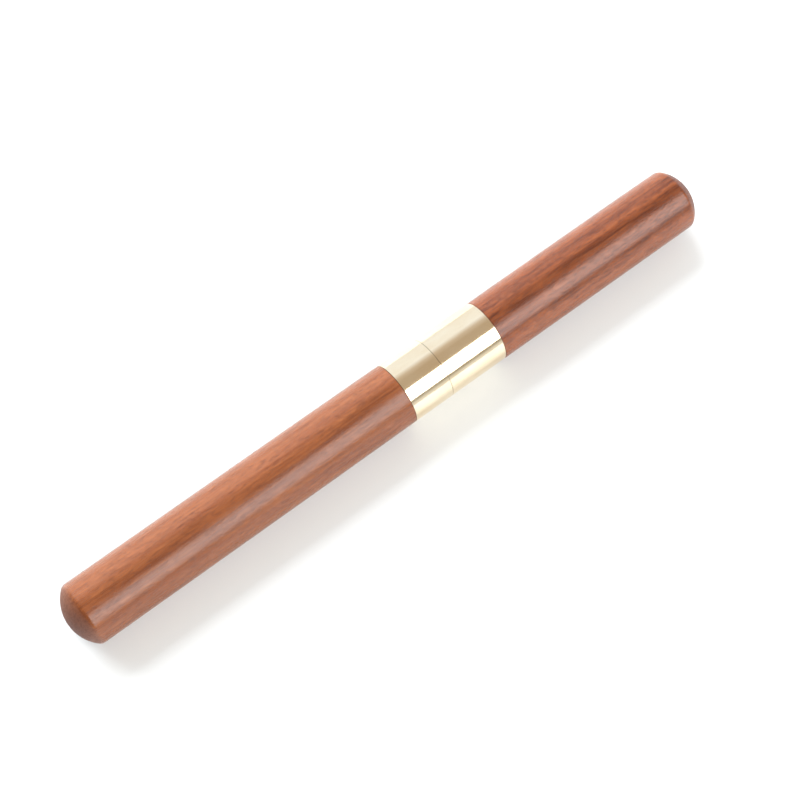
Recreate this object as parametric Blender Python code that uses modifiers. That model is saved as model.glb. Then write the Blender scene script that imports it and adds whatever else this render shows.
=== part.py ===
"""A capped dip pen holder: a round rosewood handle and cap that screw together at two brass rings.

Under the cap, a brass section carries a short rosewood grip, and a ferrule whose claws hold a pen nib.
The pen lies along X with its cap towards +X, and rests on Z = 0.
Run with blender --background --python part.py
"""

import math

import bmesh
import bpy
from mathutils import Vector

MM = 0.001

# Stations along the pen, measured from its middle and positive towards the cap
END = 80.0 * MM  # half the closed length
SHAFT_FRONT = 1.2 * MM  # where the handle's wood meets its brass ring
SEAM = 10.8 * MM  # where the cap leaves the handle
SHELL_REAR = 24.8 * MM  # where the cap's brass ring meets its wood

# Outer shape
PEN_RADIUS = 7.0 * MM
RING_RADIUS = 6.95 * MM  # the brass rings, and the wood where it meets them
EASE_LENGTH = 30.0 * MM  # over which the wood thins towards its ring
DOME_HEIGHT = 4.0 * MM
DOME_CORNER = 1.6 * MM
END_FLAT = 1.0 * MM  # radius of the small faced-off flat on each domed end
RING_CHAMFER = 0.15 * MM

# Fits
GLUE_GAP = 0.1 * MM  # glue film round a tenon
FACE_GAP = 0.1 * MM  # between shoulders that butt together
SEAM_GAP = 0.1 * MM
END_ROOM = 0.2 * MM  # left in a blind hole past the end of its pin

# Cap thread: three starts, cut on the handle's spigot and in the cap's ring
SPIGOT_FRONT = SEAM + 8.0 * MM
THREAD_RADIUS = 5.2 * MM
THREAD_LEAD = 4.5 * MM
THREAD_STARTS = 3
THREAD_DEPTH = 0.5 * MM
THREAD_STEPS = 24  # for each turn
CAP_BORE = 5.35 * MM  # clears the thread's crests
RELIEF_WIDTH = 1.9 * MM
RELIEF_RADIUS = 4.6 * MM
O_RING_RADIUS = 5.05 * MM
O_RING_SECTION = 0.42 * MM  # radius of the rubber
MOUTH_BORE = 5.6 * MM  # counterbore that takes the O-ring
MOUTH_DEPTH = 2.3 * MM

# Glued tenons
TENON_RADIUS = 5.2 * MM
TENON_REAR = -14.0 * MM
TENON_BORE = 3.3 * MM
TENON_ROOM = 0.8 * MM  # the handle's bore goes this much deeper
DRILL_POINT = 1.6 * MM
CAP_TENON_RADIUS = 5.95 * MM
CAP_TENON_FRONT = SHELL_REAR + 12.0 * MM
GLUE_GROOVE = 0.3 * MM  # depth
GLUE_GROOVE_WIDTH = 0.8 * MM
GLUE_GROOVE_PITCH = 3.6 * MM

# Cap lining
LINER_RADIUS = 5.65 * MM
CAVITY_END = 76.2 * MM

# Writing section
SECTION_RADIUS = 4.95 * MM
STUD_RADIUS = 3.75 * MM
STUD_REAR = 7.0 * MM
STUD_BORE = STUD_RADIUS + 0.15 * MM
STUD_BORE_REAR = 6.5 * MM
FLANGE_WIDTH = 1.0 * MM
FLANGE_CHAMFER = 0.1 * MM
STUB_RADIUS = 3.5 * MM
STUB_FRONT = 27.8 * MM
GRIP_WAIST = 4.6 * MM
GRIP_FRONT_RADIUS = 4.75 * MM

# Nib seat
MOUTH = 39.0 * MM
FERRULE_BORE = 4.05 * MM
FERRULE_FLOOR = 28.9 * MM
FERRULE_MOUTH_RADIUS = 4.45 * MM
FERRULE_GROOVE = 0.2 * MM  # depth
FERRULE_GROOVES = (3.2 * MM, 4.6 * MM)  # back from the mouth
STEM_RADIUS = 2.5 * MM
STEM_REAR = 21.0 * MM
PIN_RADIUS = 0.9 * MM
PIN_REAR = 27.4 * MM
CLAW_RADIUS = 3.62 * MM
CLAW_INNER = 3.15 * MM
CLAW_BASE = 1.2 * MM
CLAW_FRONT = MOUTH - 0.4 * MM
CLAW_SLOT = 0.8 * MM
SOCKET_RADIUS = 2.3 * MM
SOCKET_BORE = 1.5 * MM
SOCKET_FRONT = CLAW_FRONT - 0.4 * MM
SOCKET_DEPTH = 6.0 * MM

# Nib
NIB_HEEL = 29.2 * MM
NIB_TIP = 65.5 * MM
NIB_RADIUS = 3.95 * MM
NIB_SHEET = 0.25 * MM
NIB_SHANK = 12.5 * MM  # length of the shank that keeps one width
NIB_SHOULDER = 16.5 * MM  # where it is widest, from the heel
NIB_SHANK_WIDTH = 3.3 * MM  # half widths
NIB_SHOULDER_WIDTH = 3.75 * MM
NIB_TIP_WIDTH = 0.24 * MM
NIB_TAPER = 1.25  # above 1 hollows its sides towards the tip
NIB_TIP_RADIUS = 1.3 * MM
NIB_DROP = 1.5 * MM  # how far the spine comes down at the tip
NIB_VENT = 0.75 * MM  # radius of the vent hole
NIB_VENT_AT = 20.5 * MM  # from the heel
NIB_SLIT = 0.1 * MM

OUTER_SEGMENTS = 48
INNER_SEGMENTS = 32
MERGE_DISTANCE = 0.001 * MM
SHARP_ANGLE = math.radians(35)


def clear_scene():
    for obj in list(bpy.data.objects):
        bpy.data.objects.remove(obj)


def new_collection(name):
    made = bpy.data.collections.new(name)
    bpy.context.scene.collection.children.link(made)
    return made


def new_material(name, colour, roughness, metallic=0.0):
    made = bpy.data.materials.new(name)
    made.use_nodes = True
    shader = made.node_tree.nodes["Principled BSDF"]
    shader.inputs["Base Color"].default_value = (*colour, 1.0)
    shader.inputs["Roughness"].default_value = roughness
    shader.inputs["Metallic"].default_value = metallic
    return made


def add_object(name, data, collection, parent):
    made = bpy.data.objects.new(name, data)
    collection.objects.link(made)
    made.parent = parent
    return made


def baked(obj, cap_ends=False):
    """Turns an object's evaluated shape into its own mesh, with sharp edges where it has corners."""
    bpy.context.view_layer.update()
    graph = bpy.context.evaluated_depsgraph_get()
    mesh = bpy.data.meshes.new_from_object(obj.evaluated_get(graph))
    mesh.name = obj.name
    if cap_ends:
        work = bmesh.new()
        work.from_mesh(mesh)
        bmesh.ops.remove_doubles(work, verts=work.verts, dist=MERGE_DISTANCE)
        bmesh.ops.recalc_face_normals(work, faces=work.faces)
        work.to_mesh(mesh)
        work.free()
    mesh.shade_smooth()
    mesh.set_sharp_from_angle(angle=SHARP_ANGLE)
    return mesh


def finished(obj, material):
    obj.data = baked(obj)
    obj.modifiers.clear()
    obj.data.materials.clear()
    obj.data.materials.append(material)
    return obj


class Bench:
    """Where the pieces are put together: the pen's axis, and the collections of parts and of cutters."""

    def __init__(self):
        self.parts = new_collection("dip_pen_holder")
        self.cutters = new_collection("cutters")
        self.axis = bpy.data.objects.new("pen_axis", None)
        self.axis.location = (0, 0, PEN_RADIUS * math.cos(math.pi / OUTER_SEGMENTS))
        self.axis.rotation_euler = (0, math.pi / 2, 0)  # local Z runs along the pen, towards the cap
        self.parts.objects.link(self.axis)

    def turned(self, name, profile, segments=OUTER_SEGMENTS):
        """A turned piece. profile lists (station, radius), with any points on the axis at its two ends."""
        half_step = math.pi / segments  # so that a flat, and not an edge, is lowest
        side = Vector((math.cos(half_step), math.sin(half_step), 0))
        points = [side * radius + Vector((0, 0, station)) for station, radius in profile]
        edges = [(i, i + 1) for i in range(len(points) - 1)]
        if profile[0][1] > 0:
            edges.append((len(points) - 1, 0))
        mesh = bpy.data.meshes.new(name)
        mesh.from_pydata(points, edges, [])
        made = add_object(name, mesh, self.parts, self.axis)
        turn = made.modifiers.new("turn", "SCREW")
        turn.angle = 2 * math.pi
        turn.steps = turn.render_steps = segments
        turn.use_merge_vertices = True
        turn.merge_threshold = MERGE_DISTANCE
        return made

    def cut(self, obj, cutter):
        cutter.hide_render = True
        cutter.display_type = "WIRE"
        cutting = obj.modifiers.new(cutter.name, "BOOLEAN")
        cutting.operation = "DIFFERENCE"
        cutting.object = cutter

    def box_cutter(self, name, low, high):
        work = bmesh.new()
        bmesh.ops.create_cube(work, size=1.0)
        size, middle = high - low, (high + low) / 2
        bmesh.ops.scale(work, vec=size, verts=work.verts)
        bmesh.ops.translate(work, vec=middle, verts=work.verts)
        mesh = bpy.data.meshes.new(name)
        work.to_mesh(mesh)
        work.free()
        return add_object(name, mesh, self.cutters, self.axis)

    def cut_thread(self, obj, radius, rear, front):
        """Cuts the V grooves of a right-hand thread, with one four-sided helical tube for each start."""
        rear, front = rear - THREAD_DEPTH, front + THREAD_DEPTH
        turns = (front - rear) / THREAD_LEAD
        steps = round(turns * THREAD_STEPS)
        for start in range(THREAD_STARTS):
            name = f"{obj.name}_thread_{start + 1}"
            curve = bpy.data.curves.new(name, "CURVE")
            curve.dimensions = "3D"
            curve.twist_mode = "Z_UP"
            curve.bevel_depth = THREAD_DEPTH
            curve.bevel_resolution = 0
            curve.use_fill_caps = True
            path = curve.splines.new("POLY")
            path.points.add(steps)
            for i, point in enumerate(path.points):
                angle = 2 * math.pi * (turns * i / steps + start / THREAD_STARTS)
                station = rear + (front - rear) * i / steps
                point.co = (radius * math.cos(angle), radius * math.sin(angle), station, 1)
            guide = add_object(name, curve, self.cutters, self.axis)
            mesh = baked(guide, cap_ends=True)
            bpy.data.objects.remove(guide)
            self.cut(obj, add_object(name, mesh, self.cutters, self.axis))


def dome_profile(sign):
    """(station, radius) from a domed end's flat to its side: a crown arc, and a corner arc tangent to it."""
    reach = PEN_RADIUS - DOME_CORNER
    crown = (reach**2 + DOME_HEIGHT**2 - DOME_CORNER**2) / (2 * (DOME_HEIGHT - DOME_CORNER))
    meet = math.atan2(reach, crown - DOME_HEIGHT)  # angle from the axis where the two arcs join
    crown_start = math.asin(END_FLAT / crown)
    lift = crown - math.sqrt(crown**2 - END_FLAT**2)  # what facing the end off took away
    top = END + lift - crown
    points = [(sign * END, 0.0)]
    crown_steps, corner_steps = 5, 4
    for i in range(crown_steps + 1):
        angle = crown_start + (meet - crown_start) * i / crown_steps
        points.append((sign * (top + crown * math.cos(angle)), crown * math.sin(angle)))
    base = top + crown - DOME_HEIGHT
    for i in range(1, corner_steps + 1):
        angle = meet + (math.pi / 2 - meet) * i / corner_steps
        station = base + DOME_CORNER * math.cos(angle)
        points.append((sign * station, reach + DOME_CORNER * math.sin(angle)))
    return points


def eased_side(thick, thin, steps=3):
    """The wood's side from its full radius at station thick to the ring's radius at station thin."""
    points = []
    for i in range(steps + 1):
        share = i / steps
        radius = PEN_RADIUS + (RING_RADIUS - PEN_RADIUS) * share * share
        points.append((thick + (thin - thick) * share, radius))
    return points


def glue_grooves(start, end, radius):
    """Down a tenon's side from start to end: V grooves that hold glue."""
    points = []
    half = GLUE_GROOVE_WIDTH / 2
    station = start - GLUE_GROOVE_PITCH
    while station - half > end:
        points += [(station + half, radius), (station, radius - GLUE_GROOVE), (station - half, radius)]
        station -= GLUE_GROOVE_PITCH
    return points


def make_handle_shaft(bench, wood):
    bore, floor = TENON_RADIUS + GLUE_GAP, TENON_REAR - TENON_ROOM
    profile = [(floor - DRILL_POINT, 0.0), (floor, bore), (SHAFT_FRONT, bore)]
    profile += list(reversed(eased_side(SHAFT_FRONT - EASE_LENGTH, SHAFT_FRONT)))
    profile += list(reversed(dome_profile(-1)))
    finished(bench.turned("handle_shaft", profile), wood)


def make_handle_collar(bench, brass):
    """The handle's brass ring, with its tenon glued in the wood and its threaded spigot under the cap."""
    ring_rear, relief_front = SHAFT_FRONT + FACE_GAP, SEAM + RELIEF_WIDTH
    edge = 0.4 * MM
    profile = [
        (SPIGOT_FRONT, THREAD_RADIUS - edge),
        (SPIGOT_FRONT - edge, THREAD_RADIUS),
        (relief_front, THREAD_RADIUS),
        (relief_front - edge, RELIEF_RADIUS),
        (SEAM, RELIEF_RADIUS),
        (SEAM, RING_RADIUS - RING_CHAMFER),
        (SEAM - RING_CHAMFER, RING_RADIUS),
        (ring_rear, RING_RADIUS),
        (ring_rear, TENON_RADIUS),
        *glue_grooves(ring_rear, TENON_REAR, TENON_RADIUS),
        (TENON_REAR + edge, TENON_RADIUS),
        (TENON_REAR, TENON_RADIUS - edge),
        (TENON_REAR, TENON_BORE),
        (STUD_BORE_REAR, TENON_BORE),
        (STUD_BORE_REAR, STUD_BORE),
        (SPIGOT_FRONT, STUD_BORE),
    ]
    collar = bench.turned("handle_collar", profile)
    bench.cut_thread(collar, THREAD_RADIUS, relief_front, SPIGOT_FRONT)
    finished(collar, brass)


def make_o_ring(bench, rubber):
    bpy.ops.mesh.primitive_torus_add(
        major_radius=O_RING_RADIUS,
        minor_radius=O_RING_SECTION,
        major_segments=INNER_SEGMENTS,
        minor_segments=8,
    )
    ring = bpy.context.object
    ring.name = ring.data.name = "collar_o_ring"
    for collection in list(ring.users_collection):
        collection.objects.unlink(ring)
    bench.parts.objects.link(ring)
    ring.parent = bench.axis
    ring.location = (0, 0, SEAM + RELIEF_WIDTH / 2)
    finished(ring, rubber)


def make_section_core(bench, brass):
    """The brass core of the writing section: a glued stud, a flange, and the stub that carries the grip."""
    rear = SPIGOT_FRONT + FACE_GAP
    edge = 0.3 * MM
    bore, bore_floor = STEM_RADIUS + GLUE_GAP, STEM_REAR - END_ROOM
    flange_front = rear + FLANGE_WIDTH
    profile = [
        (bore_floor, 0.0),
        (bore_floor, bore),
        (STUB_FRONT, bore),
        (STUB_FRONT, STUB_RADIUS),
        (flange_front, STUB_RADIUS),
        (flange_front, SECTION_RADIUS - FLANGE_CHAMFER),
        (flange_front - FLANGE_CHAMFER, SECTION_RADIUS),
        (rear + edge, SECTION_RADIUS),
        (rear, SECTION_RADIUS - edge),
        (rear, STUD_RADIUS),
        *glue_grooves(rear, STUD_REAR, STUD_RADIUS),
        (STUD_REAR + edge, STUD_RADIUS),
        (STUD_REAR, STUD_RADIUS - edge),
        (STUD_REAR, 0.0),
    ]
    finished(bench.turned("section_core", profile, INNER_SEGMENTS), brass)


def make_grip_sleeve(bench, wood):
    """A short waisted rosewood sleeve over the core's stub."""
    rear = SPIGOT_FRONT + FLANGE_WIDTH + 2 * FACE_GAP
    front = STUB_FRONT + FACE_GAP
    bore = STUB_RADIUS + GLUE_GAP
    steps = 6
    profile = []
    for i in range(steps + 1):
        share = i / steps
        ends = GRIP_FRONT_RADIUS + (SECTION_RADIUS - GRIP_FRONT_RADIUS) * share
        pinch = (GRIP_FRONT_RADIUS - GRIP_WAIST) * math.sin(math.pi * share)
        profile.append((front + (rear - front) * share, ends - pinch))
    profile += [(rear, bore), (front, bore)]
    finished(bench.turned("grip_sleeve", profile, INNER_SEGMENTS), wood)


def make_nib_ferrule(bench, brass):
    """The brass cup that the nib pushes into, with its stem glued in the core."""
    rear = STUB_FRONT + 2 * FACE_GAP
    rim = 0.3 * MM
    taper = (GRIP_FRONT_RADIUS - FERRULE_MOUTH_RADIUS) / (MOUTH - rear)
    profile = [(MOUTH, FERRULE_MOUTH_RADIUS - rim / 2), (MOUTH - rim, FERRULE_MOUTH_RADIUS)]
    for back in FERRULE_GROOVES:
        radius = FERRULE_MOUTH_RADIUS + taper * back
        profile += [
            (MOUTH - back, radius),
            (MOUTH - back - FERRULE_GROOVE, radius - FERRULE_GROOVE),
            (MOUTH - back - 2 * FERRULE_GROOVE, radius),
        ]
    profile += [
        (rear, GRIP_FRONT_RADIUS),
        (rear, STEM_RADIUS),
        (STEM_REAR, STEM_RADIUS),
        (STEM_REAR, 0.0),
    ]
    pin_hole, hole_floor = PIN_RADIUS + GLUE_GAP, PIN_REAR - END_ROOM
    inside = [
        (hole_floor, 0.0),
        (hole_floor, pin_hole),
        (FERRULE_FLOOR, pin_hole),
        (FERRULE_FLOOR, FERRULE_BORE),
        (MOUTH, FERRULE_BORE),
    ]
    finished(bench.turned("nib_ferrule", inside + profile, INNER_SEGMENTS), brass)


def make_nib_claws(bench, steel):
    """A slotted spring cup: its four claws press the nib's shank outwards against the ferrule."""
    rear = FERRULE_FLOOR + FACE_GAP
    lip = 0.15 * MM
    hole = PIN_RADIUS + GLUE_GAP
    profile = [
        (CLAW_FRONT, CLAW_RADIUS - 2 * lip),
        (CLAW_FRONT - 3 * lip, CLAW_RADIUS),
        (rear + lip, CLAW_RADIUS - lip),
        (rear, CLAW_RADIUS - 2 * lip),
        (rear, hole),
        (rear + CLAW_BASE, hole),
        (rear + CLAW_BASE, CLAW_INNER),
        (CLAW_FRONT, CLAW_INNER),
    ]
    claws = bench.turned("nib_claws", profile, INNER_SEGMENTS)
    reach, half = 2 * CLAW_RADIUS, CLAW_SLOT / 2
    slot_floor, past_front = rear + CLAW_BASE + MM, CLAW_FRONT + MM
    for name, side in (("claw_slot_a", Vector((reach, half, 0))), ("claw_slot_b", Vector((half, reach, 0)))):
        low, high = Vector((0, 0, slot_floor)) - side, Vector((0, 0, past_front)) + side
        bench.cut(claws, bench.box_cutter(name, low, high))
    finished(claws, steel)


def make_crow_quill_socket(bench, brass):
    """The little tube between the claws that takes a round crow-quill nib. Its pin holds the claws in."""
    rear = FERRULE_FLOOR + 2 * FACE_GAP + CLAW_BASE
    floor = SOCKET_FRONT - SOCKET_DEPTH
    edge = 0.2 * MM
    profile = [
        (floor, 0.0),
        (floor, SOCKET_BORE),
        (SOCKET_FRONT, SOCKET_BORE),
        (SOCKET_FRONT, SOCKET_RADIUS - edge),
        (SOCKET_FRONT - edge, SOCKET_RADIUS),
        (rear, SOCKET_RADIUS),
        (rear, PIN_RADIUS),
        (PIN_REAR, PIN_RADIUS),
        (PIN_REAR, 0.0),
    ]
    finished(bench.turned("crow_quill_socket", profile, INNER_SEGMENTS), brass)


def nib_section(run):
    """(half width, bend radius, drop of the spine) of the nib at a distance from its heel."""
    if run <= NIB_SHANK:
        return NIB_SHANK_WIDTH, NIB_RADIUS, 0.0
    if run <= NIB_SHOULDER:
        share = (run - NIB_SHANK) / (NIB_SHOULDER - NIB_SHANK)
        swell = (1 - math.cos(math.pi * share)) / 2
        return NIB_SHANK_WIDTH + (NIB_SHOULDER_WIDTH - NIB_SHANK_WIDTH) * swell, NIB_RADIUS, 0.0
    share = (run - NIB_SHOULDER) / (NIB_TIP - NIB_HEEL - NIB_SHOULDER)
    width = NIB_TIP_WIDTH + (NIB_SHOULDER_WIDTH - NIB_TIP_WIDTH) * (1 - share) ** NIB_TAPER
    radius = NIB_RADIUS + (NIB_TIP_RADIUS - NIB_RADIUS) * share
    return width, radius, NIB_DROP * share * share


def make_nib(bench, steel):
    """A pointed steel nib: a sheet bent to the ferrule's curve, with its spine on top, a vent and a slit."""
    along, across = 28, 12
    length = NIB_TIP - NIB_HEEL
    work = bmesh.new()
    bmesh.ops.create_grid(work, x_segments=across, y_segments=along, size=0.5)
    for vertex in work.verts:
        run = (vertex.co.y + 0.5) * length
        width, radius, drop = nib_section(run)
        angle = 2 * vertex.co.x * math.asin(width / radius)
        height = NIB_RADIUS - drop - radius + radius * math.cos(angle)
        vertex.co = (-height, radius * math.sin(angle), NIB_HEEL + run)
    bmesh.ops.recalc_face_normals(work, faces=work.faces)
    mesh = bpy.data.meshes.new("nib")
    work.to_mesh(mesh)
    work.free()
    nib = add_object("nib", mesh, bench.parts, bench.axis)
    sheet = nib.modifiers.new("sheet", "SOLIDIFY")
    sheet.thickness = NIB_SHEET
    sheet.offset = -1 if mesh.polygons[len(mesh.polygons) // 2].normal.x < 0 else 1
    vent = bmesh.new()
    bmesh.ops.create_cone(
        vent, cap_ends=True, segments=16, radius1=NIB_VENT, radius2=NIB_VENT, depth=2 * NIB_RADIUS
    )
    vent_mesh = bpy.data.meshes.new("nib_vent")
    vent.to_mesh(vent_mesh)
    vent.free()
    drill = add_object("nib_vent", vent_mesh, bench.cutters, bench.axis)
    drill.rotation_euler = (0, math.pi / 2, 0)
    drill.location = (-NIB_RADIUS, 0, NIB_HEEL + NIB_VENT_AT)
    bench.cut(nib, drill)
    half = NIB_SLIT / 2
    low = Vector((-2 * NIB_RADIUS, -half, NIB_HEEL + NIB_VENT_AT))
    bench.cut(nib, bench.box_cutter("nib_slit", low, Vector((0, half, NIB_TIP + MM))))
    finished(nib, steel)


def make_cap_collar(bench, brass):
    """The cap's brass ring, threaded inside, with its tenon glued in the cap's wood."""
    rear, thread_rear = SEAM + SEAM_GAP, SEAM + MOUTH_DEPTH
    edge = 0.2 * MM
    profile = [
        (CAP_TENON_FRONT, CAP_TENON_RADIUS - edge),
        (CAP_TENON_FRONT - edge, CAP_TENON_RADIUS),
        *glue_grooves(CAP_TENON_FRONT, SHELL_REAR, CAP_TENON_RADIUS),
        (SHELL_REAR, CAP_TENON_RADIUS),
        (SHELL_REAR, RING_RADIUS),
        (rear + RING_CHAMFER, RING_RADIUS),
        (rear, RING_RADIUS - RING_CHAMFER),
        (rear, MOUTH_BORE),
        (thread_rear, MOUTH_BORE),
        (thread_rear + edge, CAP_BORE),
        (CAP_TENON_FRONT, CAP_BORE),
    ]
    collar = bench.turned("cap_collar", profile)
    bench.cut_thread(collar, CAP_BORE, thread_rear, SPIGOT_FRONT)
    finished(collar, brass)


def make_cap_liner(bench, brass):
    """A thin brass tube held between the cap collar's tenon and the bottom of the cap's bore."""
    rear, front = CAP_TENON_FRONT + FACE_GAP, CAVITY_END - GLUE_GAP
    profile = [(front, LINER_RADIUS), (rear, LINER_RADIUS), (rear, CAP_BORE), (front, CAP_BORE)]
    finished(bench.turned("cap_liner", profile), brass)


def make_cap_shell(bench, wood):
    rear, step = SHELL_REAR + FACE_GAP, CAP_TENON_FRONT + FACE_GAP / 2
    tenon_bore, liner_bore = CAP_TENON_RADIUS + GLUE_GAP, LINER_RADIUS + GLUE_GAP
    profile = dome_profile(1) + eased_side(rear + EASE_LENGTH, rear)
    profile += [
        (rear, tenon_bore),
        (step, tenon_bore),
        (step, liner_bore),
        (CAVITY_END, liner_bore),
        (CAVITY_END, 0.0),
    ]
    finished(bench.turned("cap_shell", profile), wood)


def main():
    clear_scene()
    rosewood = new_material("rosewood", (0.34, 0.12, 0.055), 0.38)
    brass = new_material("brass", (0.83, 0.66, 0.36), 0.24, 1.0)
    steel = new_material("steel", (0.62, 0.62, 0.61), 0.22, 1.0)
    rubber = new_material("rubber", (0.02, 0.02, 0.02), 0.6)
    bench = Bench()
    make_handle_shaft(bench, rosewood)
    make_handle_collar(bench, brass)
    make_o_ring(bench, rubber)
    make_section_core(bench, brass)
    make_grip_sleeve(bench, rosewood)
    make_nib_ferrule(bench, brass)
    make_nib_claws(bench, steel)
    make_crow_quill_socket(bench, brass)
    make_nib(bench, steel)
    make_cap_collar(bench, brass)
    make_cap_liner(bench, brass)
    make_cap_shell(bench, rosewood)


main()
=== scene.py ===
import math

import bmesh
import bpy
from mathutils import Matrix, Vector


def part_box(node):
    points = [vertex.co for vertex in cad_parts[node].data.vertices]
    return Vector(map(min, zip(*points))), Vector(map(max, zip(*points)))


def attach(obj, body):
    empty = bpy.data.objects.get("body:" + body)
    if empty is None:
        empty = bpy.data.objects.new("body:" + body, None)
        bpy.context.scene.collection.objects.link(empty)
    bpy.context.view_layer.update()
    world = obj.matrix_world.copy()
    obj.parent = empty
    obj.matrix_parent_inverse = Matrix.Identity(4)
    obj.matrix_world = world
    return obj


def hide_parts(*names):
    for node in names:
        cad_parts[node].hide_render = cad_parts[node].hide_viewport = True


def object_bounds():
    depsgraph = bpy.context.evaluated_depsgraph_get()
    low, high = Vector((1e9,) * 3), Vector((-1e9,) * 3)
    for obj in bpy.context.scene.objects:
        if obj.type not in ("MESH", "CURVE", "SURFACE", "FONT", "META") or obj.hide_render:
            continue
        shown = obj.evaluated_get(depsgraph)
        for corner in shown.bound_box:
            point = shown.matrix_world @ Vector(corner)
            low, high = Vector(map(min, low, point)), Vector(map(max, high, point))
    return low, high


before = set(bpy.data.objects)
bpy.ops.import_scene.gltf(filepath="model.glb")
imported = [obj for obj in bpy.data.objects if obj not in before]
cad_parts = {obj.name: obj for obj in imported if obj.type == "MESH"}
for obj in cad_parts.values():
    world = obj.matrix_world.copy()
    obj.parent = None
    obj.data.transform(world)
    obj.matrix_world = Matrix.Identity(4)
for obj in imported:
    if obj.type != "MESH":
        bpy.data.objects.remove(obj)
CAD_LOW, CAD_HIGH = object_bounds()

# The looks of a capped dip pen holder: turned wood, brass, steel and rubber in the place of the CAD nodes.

MM = 0.001

# The pen lies along X with its axis halfway up the frame.
# Profiles are (station, radius) pairs in mm, and a station is a distance from the pen's middle.
AXIS_HEIGHT = (CAD_LOW.z + CAD_HIGH.z) / 2
END = CAD_HIGH.x / MM
PEN_RADIUS = 7.0
RING_RADIUS = 6.95
EASE_LENGTH = 30.0
DOME_HEIGHT = 4.0
DOME_CORNER = 1.6
END_FLAT = 1.0
SEGMENTS = 192
FINE_SEGMENTS = 128


def span(node):
    """The first and last station of a CAD node along the pen, in mm."""
    low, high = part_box(node)
    return low.x / MM, high.x / MM


SHAFT_FRONT = span("handle_shaft")[1]
COLLAR_REAR, SPIGOT_FRONT = span("handle_collar")
CAP_REAR, CAP_TENON_FRONT = span("cap_collar")
SHELL_REAR = span("cap_shell")[0]
LINER_REAR, LINER_FRONT = span("cap_liner")
CORE_REAR, CORE_FRONT = span("section_core")
GRIP_REAR, GRIP_FRONT = span("grip_sleeve")
STEM_REAR, MOUTH = span("nib_ferrule")
CLAW_REAR, CLAW_FRONT = span("nib_claws")
PIN_REAR, SOCKET_FRONT = span("crow_quill_socket")
NIB_HEEL, NIB_TIP = span("nib")
O_RING_REAR, O_RING_FRONT = span("collar_o_ring")

HAIRLINE = 0.05  # what is left open where two pieces meet in sight
GLUE_GAP = 0.1  # and where they meet inside the pen
LONG_SIDE = 1.2  # a fillet beside a side that is longer than this gets an extra ring of points
SUPPORT = 0.12  # how far past the fillet that ring lies, which keeps the long side's shading flat
SHARP_ANGLE = math.radians(35)

SEAM = CAP_REAR - GLUE_GAP  # the front face of the handle's ring
SEAM_FILLET, RING_FILLET = 0.04, 0.03
LEAD, STARTS = 4.5, 3
GROOVE_EDGE, GROOVE_FLAT = 0.44, 0.1  # half the thread groove's width at its edges and at its bottom
THREAD_RADIUS = 5.2
CAP_BORE = 5.35
RELIEF = 1.9  # from the seam to the spigot's thread
RUN_OUT = 0.8  # over which a thread's groove fades in
SPIGOT_STEP, CAP_STEP = 0.06, 0.08  # between the stations of the carved threads
NIB_BEND = 3.95


# ---------------------------------------------------------------- shapes


def filleted(corners, steps=5):
    """A profile with round corners, from (station, radius, fillet). A fillet of 0 stays sharp."""
    points = []
    last = len(corners) - 1
    for i, (x, r, fillet) in enumerate(corners):
        here = Vector((x, r))
        if fillet == 0 or i in (0, last):
            points.append((x, r))
            continue
        to_before = Vector(corners[i - 1][:2]) - here
        to_after = Vector(corners[i + 1][:2]) - here
        before, after = to_before.normalized(), to_after.normalized()
        half = before.angle(after) / 2
        reach = fillet / math.tan(half)
        centre = here + (before + after).normalized() * (fillet / math.sin(half))
        start = here + before * reach - centre
        end = here + after * reach - centre
        if to_before.length > LONG_SIDE:
            points.append(tuple(here + before * (reach + SUPPORT)))
        for k in range(steps + 1):
            points.append(tuple(centre + start.slerp(end, k / steps).normalized() * fillet))
        if to_after.length > LONG_SIDE:
            points.append(tuple(here + after * (reach + SUPPORT)))
    return points


def lathe(name, profile, body, material, segments=SEGMENTS, shape=None):
    """A turned piece. Its profile closes on itself, and shape(station, angle, radius) may carve it."""
    rings = []
    work = bmesh.new()
    for x, r in profile:
        if r == 0:
            rings.append([work.verts.new((x * MM, 0, AXIS_HEIGHT))])
            continue
        ring = []
        for k in range(segments):
            angle = 2 * math.pi * k / segments
            radius = shape(x, angle, r) if shape else r
            y, z = radius * math.cos(angle), radius * math.sin(angle)
            ring.append(work.verts.new((x * MM, y * MM, z * MM + AXIS_HEIGHT)))
        rings.append(ring)
    pairs = list(zip(rings, rings[1:]))
    if len(rings[0]) > 1:
        pairs.append((rings[-1], rings[0]))
    for one, two in pairs:
        for k in range(segments):
            n = (k + 1) % segments
            face = [one[k % len(one)], one[n % len(one)], two[n % len(two)], two[k % len(two)]]
            work.faces.new(list(dict.fromkeys(face)))
    bmesh.ops.recalc_face_normals(work, faces=work.faces)
    return placed(name, work, body, material)


def linked(name, work):
    """A new object in the scene, made from a bmesh, which is freed."""
    mesh = bpy.data.meshes.new(name)
    work.to_mesh(mesh)
    work.free()
    thing = bpy.data.objects.new(name, mesh)
    bpy.context.scene.collection.objects.link(thing)
    return thing


def shade(mesh):
    """Smooth shading that stops at sharp edges."""
    mesh.shade_smooth()
    mesh.set_sharp_from_angle(angle=SHARP_ANGLE)


def placed(name, work, body, material):
    """A piece that rides on a body."""
    piece = linked(name, work)
    shade(piece.data)
    piece.data.materials.append(material)
    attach(piece, body)
    return piece


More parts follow.
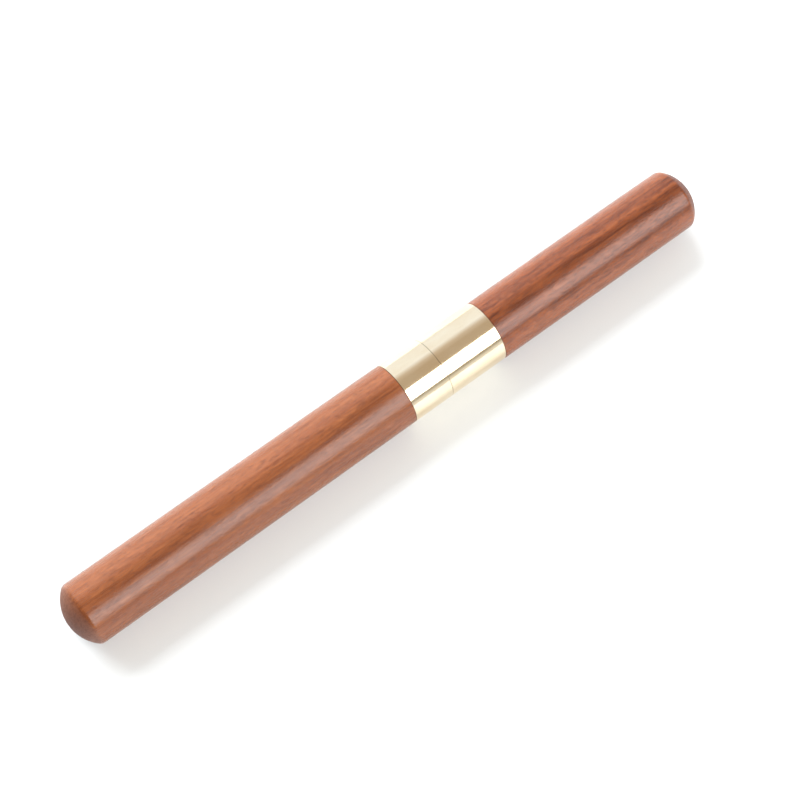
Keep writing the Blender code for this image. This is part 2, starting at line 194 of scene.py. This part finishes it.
def dome(sign, crown_steps=16, corner_steps=10):
    """The profile of a domed end: a small flat, a crown arc, and a corner arc tangent to crown and side."""
    reach = PEN_RADIUS - DOME_CORNER
    crown = (reach**2 + DOME_HEIGHT**2 - DOME_CORNER**2) / (2 * (DOME_HEIGHT - DOME_CORNER))
    meet = math.atan2(reach, crown - DOME_HEIGHT)
    crown_start = math.asin(END_FLAT / crown)
    centre = END - crown * math.cos(crown_start)
    points = [(sign * END, 0.0)]
    for i in range(crown_steps + 1):
        angle = crown_start + (meet - crown_start) * i / crown_steps
        points.append((sign * (centre + crown * math.cos(angle)), crown * math.sin(angle)))
    base = centre + crown - DOME_HEIGHT
    for i in range(1, corner_steps + 1):
        angle = meet + (math.pi / 2 - meet) * i / corner_steps
        station = base + DOME_CORNER * math.cos(angle)
        points.append((sign * station, reach + DOME_CORNER * math.sin(angle)))
    return points


def eased_side(thick, thin, steps=12):
    """The wood's side, from its full radius at station thick to the ring's radius at station thin."""
    points = []
    for i in range(steps + 1):
        share = i / steps
        points.append((thick + (thin - thick) * share, PEN_RADIUS + (RING_RADIUS - PEN_RADIUS) * share**2))
    return points


def soft_edge(points, fillet=0.12, steps=4):
    """The same side with its last corner rounded over, inwards."""
    x, r = points[-1]
    way = 1 if x > points[-2][0] else -1
    rounded = points[:-1] + [(x - way * (fillet + SUPPORT), r)]
    for i in range(steps + 1):
        angle = math.pi / 2 * i / steps
        rounded.append((x - way * fillet * (1 - math.sin(angle)), r - fillet * (1 - math.cos(angle))))
    return rounded


def thread_groove(station, angle):
    """Depth of the three-start thread's groove at a place on its cylinder. Its sides lie at 45 degrees."""
    pitch = LEAD / STARTS
    phase = (station - LEAD * angle / (2 * math.pi)) % pitch
    from_middle = abs(phase - pitch / 2)
    return max(0.0, GROOVE_EDGE - max(from_middle, GROOVE_FLAT))


def stations(start, end, step):
    """Evenly spaced stations from start to end, about a step apart."""
    count = max(1, round(abs(end - start) / step))
    return [start + (end - start) * i / count for i in range(count + 1)]


# ---------------------------------------------------------------- pieces


def make_handle_shaft(wood):
    front = SHAFT_FRONT + HAIRLINE
    bore, floor, drill_point = 5.3, -14.8, 1.6
    side = soft_edge(eased_side(SHAFT_FRONT - EASE_LENGTH, front))
    profile = [(floor - drill_point, 0.0), (floor, bore), (front, bore)]
    profile += list(reversed(side)) + list(reversed(dome(-1)))
    shaft = lathe("handle_wood", profile, "holder", wood)
    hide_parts("handle_shaft")


def make_handle_collar(brass):
    """The handle's ring with its threaded spigot. The thread is carved into the turned surface."""
    rear, relief_front = SHAFT_FRONT + GLUE_GAP, SEAM + RELIEF
    lead_in, relief_radius, tenon = 0.4, 4.6, 5.2
    through_bore, section_bore, bore_step = 3.3, 3.9, 6.5
    profile = [(SPIGOT_FRONT, THREAD_RADIUS - lead_in)]
    profile += [(x, THREAD_RADIUS) for x in stations(SPIGOT_FRONT - lead_in, relief_front, SPIGOT_STEP)]
    profile += filleted(
        [
            (relief_front, THREAD_RADIUS, 0),
            (relief_front - lead_in, relief_radius, 0.15),
            (SEAM, relief_radius, 0.1),
            (SEAM, RING_RADIUS, SEAM_FILLET),
            (rear, RING_RADIUS, RING_FILLET),
            (rear, tenon, 0),
            (COLLAR_REAR, tenon, 0),
            (COLLAR_REAR, through_bore, 0),
            (bore_step, through_bore, 0),
            (bore_step, section_bore, 0),
            (SPIGOT_FRONT, section_bore, 0),
        ]
    )[1:]

    def carve(x, angle, radius):
        if radius != THREAD_RADIUS or x < relief_front:
            return radius
        run_out = min(1.0, (x - relief_front) / RUN_OUT)
        return radius - thread_groove(x, angle) * run_out

    collar = lathe("handle_ring", profile, "holder", brass, shape=carve)
    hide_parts("handle_collar")


def make_o_ring(rubber):
    middle, cord = (O_RING_REAR + O_RING_FRONT) / 2, (O_RING_FRONT - O_RING_REAR) / 2
    ring_radius, steps = 5.05, 24
    profile = []
    for i in range(steps):
        angle = -2 * math.pi * i / steps
        profile.append((middle + cord * math.cos(angle), ring_radius + cord * math.sin(angle)))
    ring = lathe("o_ring", profile, "holder", rubber, FINE_SEGMENTS)
    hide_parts("collar_o_ring")


def make_section_core(brass):
    rear, flange, flange_radius = SPIGOT_FRONT + GLUE_GAP, 1.0, 4.95
    stud, stub, stem_bore, bore_floor = 3.75, 3.5, 2.6, CORE_REAR + 13.8
    profile = filleted(
        [
            (bore_floor, 0.0, 0),
            (bore_floor, stem_bore, 0),
            (CORE_FRONT, stem_bore, 0),
            (CORE_FRONT, stub, 0),
            (rear + flange, stub, 0),
            (rear + flange, flange_radius, 0.12),
            (rear, flange_radius, 0.3),
            (rear, stud, 0),
            (CORE_REAR, stud, 0.3),
            (CORE_REAR, 0.0, 0),
        ]
    )
    core = lathe("section_core_brass", profile, "holder", brass, FINE_SEGMENTS)
    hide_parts("section_core")


def make_grip(wood, steps=32):
    waist, front_radius, rear_radius, bore, fillet = 4.6, 4.75, 4.95, 3.6, 0.08
    side = []
    for i in range(steps + 1):
        share = i / steps
        ends = front_radius + (rear_radius - front_radius) * share
        pinch = (front_radius - waist) * math.sin(math.pi * share)
        side.append((GRIP_FRONT + (GRIP_REAR - GRIP_FRONT) * share, ends - pinch))
    side = list(reversed(soft_edge(list(reversed(soft_edge(side, fillet))), fillet)))
    profile = side + [(GRIP_REAR, bore), (GRIP_FRONT, bore)]
    grip = lathe("grip_wood", profile, "holder", wood, FINE_SEGMENTS)
    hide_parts("grip_sleeve")


def make_ferrule(brass):
    """The nib's cup, with two turned grooves near its mouth."""
    rear, mouth_radius, rear_radius = GRIP_FRONT + GLUE_GAP, 4.45, 4.75
    stem, bore, pin_hole = 2.5, 4.05, 1.0
    groove_depth = 0.2
    taper = (rear_radius - mouth_radius) / (MOUTH - rear)
    outside = [(MOUTH, mouth_radius, 0.15)]
    for back in (3.2, 4.6):
        radius = mouth_radius + taper * back
        for further, sunk in ((0, 0), (0.12, groove_depth), (0.28, groove_depth), (0.4, 0)):
            outside.append((MOUTH - back - further, radius - sunk, 0.04))
    outside += [
        (rear, rear_radius, 0.08),
        (rear, stem, 0),
        (STEM_REAR, stem, 0),
        (STEM_REAR, 0.0, 0),
    ]
    inside = [
        (PIN_REAR - 2 * GLUE_GAP, 0.0, 0),
        (PIN_REAR - 2 * GLUE_GAP, pin_hole, 0),
        (CLAW_REAR - GLUE_GAP, pin_hole, 0),
        (CLAW_REAR - GLUE_GAP, bore, 0),
        (MOUTH, bore, 0.06),
    ]
    ferrule = lathe("ferrule", filleted(inside + outside), "holder", brass, FINE_SEGMENTS)
    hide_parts("nib_ferrule")


def make_claws(steel):
    """A cup of spring steel, with two slots across it that leave four claws."""
    outer, inner, hole, base, slot_width = 3.62, 3.15, 1.0, 1.2, 0.8
    foot, lead_in, lead_in_length = 0.15, 0.3, 0.45
    profile = filleted(
        [
            (CLAW_REAR, hole, 0),
            (CLAW_REAR + base, hole, 0),
            (CLAW_REAR + base, inner, 0.3),
            (CLAW_FRONT, inner, 0),
            (CLAW_FRONT, outer - lead_in, 0.1),
            (CLAW_FRONT - lead_in_length, outer, 0.2),
            (CLAW_REAR + foot, outer - foot, 0),
            (CLAW_REAR, outer - 2 * foot, 0),
        ]
    )
    claws = lathe("claws", profile, "holder", steel, FINE_SEGMENTS)
    slot_floor, past_front = CLAW_REAR + base + 1.0, CLAW_FRONT + 1.0
    size = Vector((past_front - slot_floor, 4 * outer, slot_width))
    middle = Vector(((past_front + slot_floor) / 2, 0, 0))
    for k in range(2):
        cutter = box_cutter(f"claw_slot_{k}", size, middle)
        cutter.rotation_euler.x = math.pi / 2 * k
        carve_out(claws, cutter)
    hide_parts("nib_claws")


def box_cutter(name, size, middle):
    """A box about the pen's axis, in mm, for cutting with."""
    work = bmesh.new()
    bmesh.ops.create_cube(work, size=MM)
    bmesh.ops.scale(work, vec=size, verts=work.verts)
    bmesh.ops.translate(work, vec=middle * MM, verts=work.verts)
    return cutter_from(name, work)


def cutter_from(name, work):
    """Turns a bmesh made about the pen's axis into an object at the axis's height."""
    cutter = linked(name, work)
    cutter.location.z = AXIS_HEIGHT
    return cutter


def carve_out(piece, cutter):
    """Cuts the cutter's shape out of the piece's own mesh, and then the cutter is gone."""
    cutting = piece.modifiers.new("cut", "BOOLEAN")
    cutting.operation = "DIFFERENCE"
    cutting.object = cutter
    bpy.context.view_layer.update()
    cut = bpy.data.meshes.new_from_object(piece.evaluated_get(bpy.context.evaluated_depsgraph_get()))
    piece.modifiers.clear()
    piece.data = cut
    bpy.data.objects.remove(cutter)
    shade(cut)


def make_quill_socket(brass):
    outer, bore, depth, pin = 2.3, 1.5, 6.0, 0.9
    rear = CLAW_REAR + 1.3
    profile = filleted(
        [
            (SOCKET_FRONT - depth, 0.0, 0),
            (SOCKET_FRONT - depth, bore, 0),
            (SOCKET_FRONT, bore, 0.15),
            (SOCKET_FRONT, outer, 0.2),
            (rear, outer, 0.1),
            (rear, pin, 0),
            (PIN_REAR, pin, 0),
            (PIN_REAR, 0.0, 0),
        ]
    )
    socket = lathe("quill_socket", profile, "holder", brass, FINE_SEGMENTS)
    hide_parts("crow_quill_socket")


def nib_section(run):
    """(half width, bend radius, drop of the spine) of the nib at a distance from its heel, in mm."""
    shank, shoulder, length = 12.5, 16.5, NIB_TIP - NIB_HEEL
    shank_width, shoulder_width, tip_width, hollow = 3.3, 3.75, 0.24, 1.25
    tip_bend, drop = 1.3, 1.5
    if run <= shank:
        return shank_width, NIB_BEND, 0.0
    if run <= shoulder:
        swell = (1 - math.cos(math.pi * (run - shank) / (shoulder - shank))) / 2
        return shank_width + (shoulder_width - shank_width) * swell, NIB_BEND, 0.0
    share = (run - shoulder) / (length - shoulder)
    width = tip_width + (shoulder_width - tip_width) * (1 - share) ** hollow
    return width, NIB_BEND + (tip_bend - NIB_BEND) * share, drop * share**2


def make_nib(steel):
    """A pointed nib: a bent sheet with its spine on top, a vent hole and a slit from there to the point."""
    along, across, sheet_thickness = 150, 40, 0.25
    work = bmesh.new()
    bmesh.ops.create_grid(work, x_segments=across, y_segments=along, size=0.5)
    for vertex in work.verts:
        run = (vertex.co.y + 0.5) * (NIB_TIP - NIB_HEEL)
        width, radius, drop = nib_section(run)
        angle = 2 * vertex.co.x * math.asin(width / radius)
        height = NIB_BEND - drop - radius + radius * math.cos(angle)
        place = Vector((NIB_HEEL + run, radius * math.sin(angle), height))
        vertex.co = place * MM + Vector((0, 0, AXIS_HEIGHT))
    bmesh.ops.recalc_face_normals(work, faces=work.faces)
    nib = placed("nib_steel", work, "nib", steel)
    sheet = nib.modifiers.new("sheet", "SOLIDIFY")
    sheet.thickness = sheet_thickness * MM
    upwards = nib.data.polygons[len(nib.data.polygons) // 2].normal.z > 0
    sheet.offset = -1 if upwards else 1
    vent_at, vent, slit, spare = NIB_HEEL + 20.5, 0.75, 0.08, 1.0
    drill = bmesh.new()
    bmesh.ops.create_cone(
        drill, cap_ends=True, segments=48, radius1=vent * MM, radius2=vent * MM, depth=4 * spare * MM
    )
    bmesh.ops.translate(drill, vec=(vent_at * MM, 0, NIB_BEND * MM), verts=drill.verts)
    carve_out(nib, cutter_from("vent", drill))
    length = NIB_TIP + spare - vent_at
    size, middle = Vector((length, slit, 2 * NIB_BEND)), Vector((vent_at + length / 2, 0, NIB_BEND))
    carve_out(nib, box_cutter("slit", size, middle))
    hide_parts("nib")


def make_cap_collar(brass):
    """The cap's ring, with the thread carved inside it."""
    rear, thread_rear, thread_front = SEAM + HAIRLINE, SEAM + 2.3, SPIGOT_FRONT + 0.5
    ring_front = SHELL_REAR - GLUE_GAP
    mouth_bore, tenon, lead_in = 5.6, 5.95, 0.2
    profile = filleted(
        [
            (CAP_TENON_FRONT, CAP_BORE, 0),
            (CAP_TENON_FRONT, tenon, 0.2),
            (ring_front, tenon, 0),
            (ring_front, RING_RADIUS, RING_FILLET),
            (rear, RING_RADIUS, SEAM_FILLET),
            (rear, mouth_bore, 0.15),
            (thread_rear, mouth_bore, 0),
            (thread_rear + lead_in, CAP_BORE, 0),
        ]
    )
    profile += [(x, CAP_BORE) for x in stations(thread_rear + lead_in, thread_front, CAP_STEP)[1:]]

    def carve(x, angle, radius):
        if radius != CAP_BORE or not thread_rear < x < thread_front:
            return radius
        run_out = min(1.0, (thread_front - x) / RUN_OUT)
        return radius + thread_groove(x, angle) * run_out

    collar = lathe("cap_ring", profile, "cap", brass, shape=carve)
    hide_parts("cap_collar")


def make_cap_liner(brass):
    outer = 5.65
    profile = [(LINER_FRONT, outer), (LINER_REAR, outer), (LINER_REAR, CAP_BORE), (LINER_FRONT, CAP_BORE)]
    liner = lathe("liner_tube", profile, "cap_lining", brass, FINE_SEGMENTS)
    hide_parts("cap_liner")


def make_cap_shell(wood):
    rear, tenon_bore, liner_bore = SHELL_REAR - HAIRLINE, 6.05, 5.75
    step, floor = LINER_REAR - HAIRLINE, LINER_FRONT + GLUE_GAP
    profile = dome(1) + soft_edge(eased_side(SHELL_REAR + EASE_LENGTH, rear))
    profile += [
        (rear, tenon_bore),
        (step, tenon_bore),
        (step, liner_bore),
        (floor, liner_bore),
        (floor, 0.0),
    ]
    shell = lathe("cap_wood", profile, "cap", wood)
    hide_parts("cap_shell")


# ---------------------------------------------------------------- materials


class Nodes:
    """A short way to write the node tree of a material or of the world."""

    def __init__(self, owner):
        owner.use_nodes = True
        self.owner = owner
        self.tree = owner.node_tree

    def add(self, kind, inputs=None, **settings):
        node = self.tree.nodes.new(kind)
        for key, value in settings.items():
            setattr(node, key, value)
        for key, value in (inputs or {}).items():
            self.feed(node, key, value)
        return node

    def feed(self, node, key, value):
        """Sets an input from another node's output, a number or a colour."""
        if isinstance(value, bpy.types.NodeSocket):
            self.tree.links.new(value, node.inputs[key])
            return
        if node.inputs[key].type == "RGBA":
            value = (*value, 1)
        node.inputs[key].default_value = value

    def place(self, scale, shift=(0, 0, 0)):
        """The object's own coordinates in mm, scaled and then shifted."""
        coordinates = self.add("ShaderNodeTexCoord").outputs["Object"]
        per_metre = [s / MM for s in scale]
        inputs = {"Vector": coordinates, "Location": shift, "Scale": per_metre}
        return self.add("ShaderNodeMapping", inputs).outputs["Vector"]

    def part(self, vector, letter):
        return self.add("ShaderNodeSeparateXYZ", {"Vector": vector}).outputs[letter]

    def noise(self, scale, shift=(0, 0, 0), detail=2.0, roughness=0.5, distortion=0.0):
        inputs = {"Vector": self.place(scale, shift), "Scale": 1.0, "Detail": detail}
        inputs |= {"Roughness": roughness, "Distortion": distortion}
        return self.add("ShaderNodeTexNoise", inputs).outputs["Fac"]

    def ramp(self, value, stops, ease="LINEAR"):
        """stops: (position, grey or colour) pairs."""
        node = self.add("ShaderNodeValToRGB", {"Fac": value})
        band = node.color_ramp
        band.interpolation = ease
        while len(band.elements) < len(stops):
            band.elements.new(0.5)
        for element, (position, colour) in zip(band.elements, stops):
            element.position = position
            element.color = (*colour, 1) if isinstance(colour, tuple) else (colour, colour, colour, 1)
        return node.outputs["Color"]

    def math(self, operation, *values, clamp=False):
        node = self.add("ShaderNodeMath", operation=operation, use_clamp=clamp)
        for i, value in enumerate(values):
            self.feed(node, i, value)
        return node.outputs[0]

    def sum(self, *values, clamp=False):
        total = values[0]
        for value in values[1:]:
            total = self.math("ADD", total, value, clamp=clamp)
        return total

    def times(self, one, two):
        return self.math("MULTIPLY", one, two)

    def mix(self, factor, one, two):
        node = self.add("ShaderNodeMix", data_type="RGBA")
        factor_input, one_input, two_input, colour_output = 0, 6, 7, 2
        self.feed(node, factor_input, factor)
        self.feed(node, one_input, one)
        self.feed(node, two_input, two)
        return node.outputs[colour_output]

    def surface(self, base_color, roughness, metallic=0.0, ior=1.5):
        shader = self.tree.nodes["Principled BSDF"]
        self.feed(shader, "Base Color", base_color)
        self.feed(shader, "Roughness", roughness)
        self.feed(shader, "Metallic", metallic)
        self.feed(shader, "IOR", ior)

    def bump(self, height, distance, strength):
        """distance is in mm."""
        inputs = {"Height": height, "Distance": distance * MM, "Strength": strength}
        normal = self.add("ShaderNodeBump", inputs).outputs["Normal"]
        self.feed(self.tree.nodes["Principled BSDF"], "Normal", normal)


def new_material(name):
    return Nodes(bpy.data.materials.new(name))


def wood_bands(m, bands, seed):
    """How dark the broad bands are. They lie across Y, and wander slowly along the grain."""
    shift = (seed, 2 * seed, 3 * seed)
    wander = m.noise((0.035, 0.12, 0.12), shift, 3.0, 0.55)
    ripple = m.noise((0.14, 0.8, 0.8), shift, 3.0, 0.6)
    bend = m.times(m.math("SUBTRACT", wander, 0.5), 3.5)
    fringe = m.times(m.math("SUBTRACT", ripple, 0.5), 1.8)
    across = m.part(m.place((1, 1, 1)), "Y")
    share = m.math("DIVIDE", m.sum(across, m.sum(bend, fringe), PEN_RADIUS), 2 * PEN_RADIUS)
    return m.ramp(share, bands, "CARDINAL")


def wood_pores(m, seed):
    """The short dark dashes of open pores, in two sizes."""
    coarse = m.noise((0.36, 1.8, 1.8), (seed + 7, seed, seed), 2.0, 0.55)
    fine = m.noise((0.8, 3.4, 3.4), (seed, seed + 9, seed), 2.0, 0.5)
    coarse = m.ramp(coarse, [(0.5, 0.0), (0.64, 1.0)])
    fine = m.ramp(fine, [(0.5, 0.0), (0.62, 1.0)])
    return m.sum(m.times(coarse, 0.45), m.times(fine, 0.6), clamp=True)


def rosewood(name, light, middle, dark, bands, pore_depth, seed):
    """Solid wood, grain along X: broad bands, streaks and veins, fibres, pores, and dull end grain."""
    m = new_material(name)
    shift = (seed, 2 * seed, 3 * seed)
    band = wood_bands(m, bands, seed)
    streak = m.noise((0.04, 1.3, 1.3), shift, 5.0, 0.62, 0.35)
    streak = m.ramp(streak, [(0.36, 0.0), (0.66, 1.0)])
    vein = m.noise((0.07, 1.5, 1.5), (seed, 3 * seed, seed), 4.0, 0.6, 0.3)
    vein = m.ramp(vein, [(0.47, 0.0), (0.6, 1.0)])
    fibre = m.noise((0.3, 3.6, 3.6), shift, 4.0, 0.65)
    fibre = m.ramp(fibre, [(0.34, 0.0), (0.68, 1.0)])
    pore = wood_pores(m, seed)
    # End grain drinks more oil, so the domes are darker and duller
    facing = m.add("ShaderNodeTexCoord").outputs["Normal"]
    end_grain = m.math("ABSOLUTE", m.part(facing, "X"))
    end_grain = m.ramp(end_grain, [(0.35, 0.0), (0.9, 1.0)])
    # Veins show mostly inside the dark bands
    veined = m.math("MULTIPLY", vein, m.sum(m.times(band, 0.9), 0.08), clamp=True)
    colour = m.mix(streak, middle, light)
    colour = m.mix(m.times(band, 0.55), colour, dark)
    colour = m.mix(veined, colour, dark)
    colour = m.mix(m.times(fibre, 0.35), colour, dark)
    colour = m.mix(m.times(pore, pore_depth), colour, tuple(0.8 * c for c in dark))
    colour = m.mix(m.times(end_grain, 0.6), colour, dark)
    gloss = m.sum(0.22, m.times(fibre, 0.05), m.times(pore, 0.1), m.times(end_grain, 0.35))
    m.surface(base_color=colour, roughness=gloss, ior=1.55)
    m.bump(m.math("SUBTRACT", m.times(fibre, -0.3), pore), 0.02, 0.6)
    return m.owner


def turned_brass(name, colour, gloss, seed):
    """Polished brass: very fine turning lines round the pen, a little haze, and slow changes of tone."""
    m = new_material(name)
    tone = m.noise((0.12, 0.3, 0.3), (seed, 0, 0), 3.0, 0.55)
    lines = m.noise((9.0, 0.02, 0.02), (seed, 0, 0), 4.0, 0.7)
    haze = m.noise((0.5, 0.8, 0.8), (seed, seed, 0), 5.0, 0.6)
    deeper = tuple(c * f for c, f in zip(colour, (0.95, 0.9, 0.82)))
    m.surface(
        base_color=m.mix(m.ramp(tone, [(0.35, 0.0), (0.7, 1.0)]), colour, deeper),
        roughness=m.sum(gloss, m.times(haze, 0.08)),
        metallic=1.0,
    )
    m.bump(lines, 0.004, 0.35)
    return m.owner


def spring_steel(name):
    """Bright nib steel with rolling lines along the sheet and a faint straw tint."""
    m = new_material(name)
    bright, straw = (0.63, 0.63, 0.62), (0.55, 0.52, 0.46)
    lines = m.noise((0.2, 14.0, 14.0), (2, 0, 0), 4.0, 0.65)
    tint = m.noise((0.15, 0.3, 0.3), (4, 0, 0), 3.0)
    m.surface(
        base_color=m.mix(m.ramp(tint, [(0.4, 0.0), (0.75, 1.0)]), bright, straw),
        roughness=m.sum(0.2, m.times(lines, 0.12)),
        metallic=1.0,
    )
    m.bump(lines, 0.004, 0.4)
    return m.owner


def black_rubber(name):
    """Matt black rubber with a fine grain."""
    m = new_material(name)
    grain = m.noise((6, 6, 6), (0, 0, 0), 3.0)
    m.surface(
        base_color=m.mix(grain, (0.012, 0.012, 0.013), (0.035, 0.034, 0.033)),
        roughness=m.sum(0.45, m.times(grain, 0.2)),
    )
    m.bump(grain, 0.01, 0.5)
    return m.owner


# ---------------------------------------------------------------- stage, light and camera

# The camera looks down on the pen, which runs away to the upper right
VIEW_TURN = math.radians(37.7)
VIEW_DROP = math.radians(65.8)
VIEW_DISTANCE = 0.4126
AIM_RIGHT, AIM_DOWN = 0.0018, 0.0005
LENS = 90.0
FLOOR_DROP = 0.03 * MM
FLOOR_REACH = 0.8


def make_camera():
    ahead = Vector((math.sin(VIEW_TURN), math.cos(VIEW_TURN), 0))
    right = Vector((math.cos(VIEW_TURN), -math.sin(VIEW_TURN), 0))
    forward = ahead * math.cos(VIEW_DROP) - Vector((0, 0, math.sin(VIEW_DROP)))
    up = right.cross(forward)
    data = bpy.data.cameras.new("camera")
    data.lens = LENS
    data.clip_start, data.clip_end = 0.01, 20
    camera = bpy.data.objects.new("camera", data)
    bpy.context.scene.collection.objects.link(camera)
    middle = Vector((0, 0, AXIS_HEIGHT))
    camera.location = middle + right * AIM_RIGHT - up * AIM_DOWN - forward * VIEW_DISTANCE
    turn = Matrix((right, up, -forward)).transposed()
    camera.rotation_euler = turn.to_euler()
    bpy.context.scene.camera = camera


def make_floor():
    work = bmesh.new()
    bmesh.ops.create_circle(work, cap_ends=True, segments=SEGMENTS, radius=FLOOR_REACH)
    floor = linked("floor", work)
    floor.location.z = AXIS_HEIGHT - PEN_RADIUS * MM - FLOOR_DROP
    m = new_material("white_paper")
    m.surface(base_color=(0.8, 0.825, 0.84), roughness=0.7)
    floor.data.materials.append(m.owner)


def make_softbox(name, direction, distance, width, height, radiance):
    """A rectangular light that faces the pen from a direction, with its width level."""
    direction = Vector(direction).normalized()
    data = bpy.data.lights.new(name, "AREA")
    data.shape = "RECTANGLE"
    data.size, data.size_y = width, height
    data.energy = radiance * math.pi * width * height
    data.color = (0.96, 1.0, 1.02)
    lamp = bpy.data.objects.new(name, data)
    bpy.context.scene.collection.objects.link(lamp)
    lamp.location = direction * distance + Vector((0, 0, AXIS_HEIGHT))
    lamp.rotation_euler = direction.to_track_quat("Z", "Y").to_euler()
    return lamp


def make_world():
    """Pale surroundings. What lights the pen is a ring of tones about its length."""
    world = bpy.data.worlds.new("studio")
    bpy.context.scene.world = world
    m = Nodes(world)
    direction = m.add("ShaderNodeTexCoord").outputs["Generated"]
    toward = m.times(m.part(direction, "Y"), -1.0)
    angle = m.math("ARCTAN2", m.part(direction, "Z"), toward)
    cool, warm, dark = (1.05, 1.11, 1.18), (0.55, 0.46, 0.36), (0.3, 0.27, 0.22)
    # Degrees up from the near horizon, over the top, to the far horizon, and the light from there
    tones = [
        (0, (0.88, 0.9, 0.92)),
        (7, (0.84, 0.83, 0.8)),
        (14, (0.5, 0.47, 0.4)),
        (17, dark),
        (20, dark),
        (24, warm),
        (95, warm),
        (110, (0.68, 0.6, 0.52)),
        (126, cool),
        (180, cool),
    ]
    ring = m.ramp(m.math("DIVIDE", angle, math.pi), [(degrees / 180, tone) for degrees, tone in tones])
    # Little light comes from beyond the handle's end
    fade = {"Value": m.part(direction, "X"), "From Min": -0.9, "From Max": 0.0}
    fade |= {"To Min": 0.12, "To Max": 1.0}
    share = m.add("ShaderNodeMapRange", fade, interpolation_type="SMOOTHSTEP").outputs["Result"]
    lighting = m.add("ShaderNodeVectorMath", {0: ring, "Scale": share}, operation="SCALE").outputs["Vector"]
    seen = m.add("ShaderNodeLightPath").outputs["Is Camera Ray"]
    colour = m.mix(seen, lighting, (0.95, 0.95, 0.95))
    m.feed(m.tree.nodes["Background"], "Color", colour)


def make_lights():
    """A softbox on the near side, which the brass mirrors, and a window whose shadow falls this way."""
    near = math.radians(48.5)
    make_softbox("near_softbox", (0.25, -math.sin(near), math.cos(near)), 0.93, 1.3, 0.66, 4.1)
    window = make_softbox("window", (0.0, 0.8, 0.5), 1.2, 1.2, 1.1, 7.2)
    window.visible_glossy = False


def main():
    bpy.context.scene.view_settings.view_transform = "Standard"
    handle_wood = rosewood(
        "handle_rosewood",
        light=(0.365, 0.122, 0.043),
        middle=(0.275, 0.08, 0.026),
        dark=(0.11, 0.023, 0.005),
        bands=[(0.0, 0.25), (0.1, 0.1), (0.2, 0.3), (0.36, 0.55), (0.48, 0.3), (0.6, 0.05), (1.0, 0.0)],
        pore_depth=0.55,
        seed=3.0,
    )
    cap_wood = rosewood(
        "cap_rosewood",
        light=(0.37, 0.108, 0.034),
        middle=(0.275, 0.068, 0.018),
        dark=(0.075, 0.013, 0.003),
        bands=[
            (0.0, 0.1),
            (0.06, 0.05),
            (0.13, 0.6),
            (0.24, 0.2),
            (0.33, 0.5),
            (0.45, 0.85),
            (0.54, 0.25),
            (0.64, 0.6),
            (0.75, 0.1),
            (1.0, 0.0),
        ],
        pore_depth=0.65,
        seed=11.0,
    )
    ring_brass = turned_brass("ring_brass", (0.91, 0.79, 0.6), 0.07, 1.0)
    inner_brass = turned_brass("inner_brass", (0.88, 0.68, 0.4), 0.14, 5.0)
    steel = spring_steel("nib_steel")
    rubber = black_rubber("black_rubber")
    make_handle_shaft(handle_wood)
    make_handle_collar(ring_brass)
    make_o_ring(rubber)
    make_section_core(inner_brass)
    make_grip(handle_wood)
    make_ferrule(inner_brass)
    make_claws(steel)
    make_quill_socket(inner_brass)
    make_nib(steel)
    make_cap_collar(ring_brass)
    make_cap_liner(inner_brass)
    make_cap_shell(cap_wood)
    make_camera()
    make_floor()
    make_world()
    make_lights()


main()
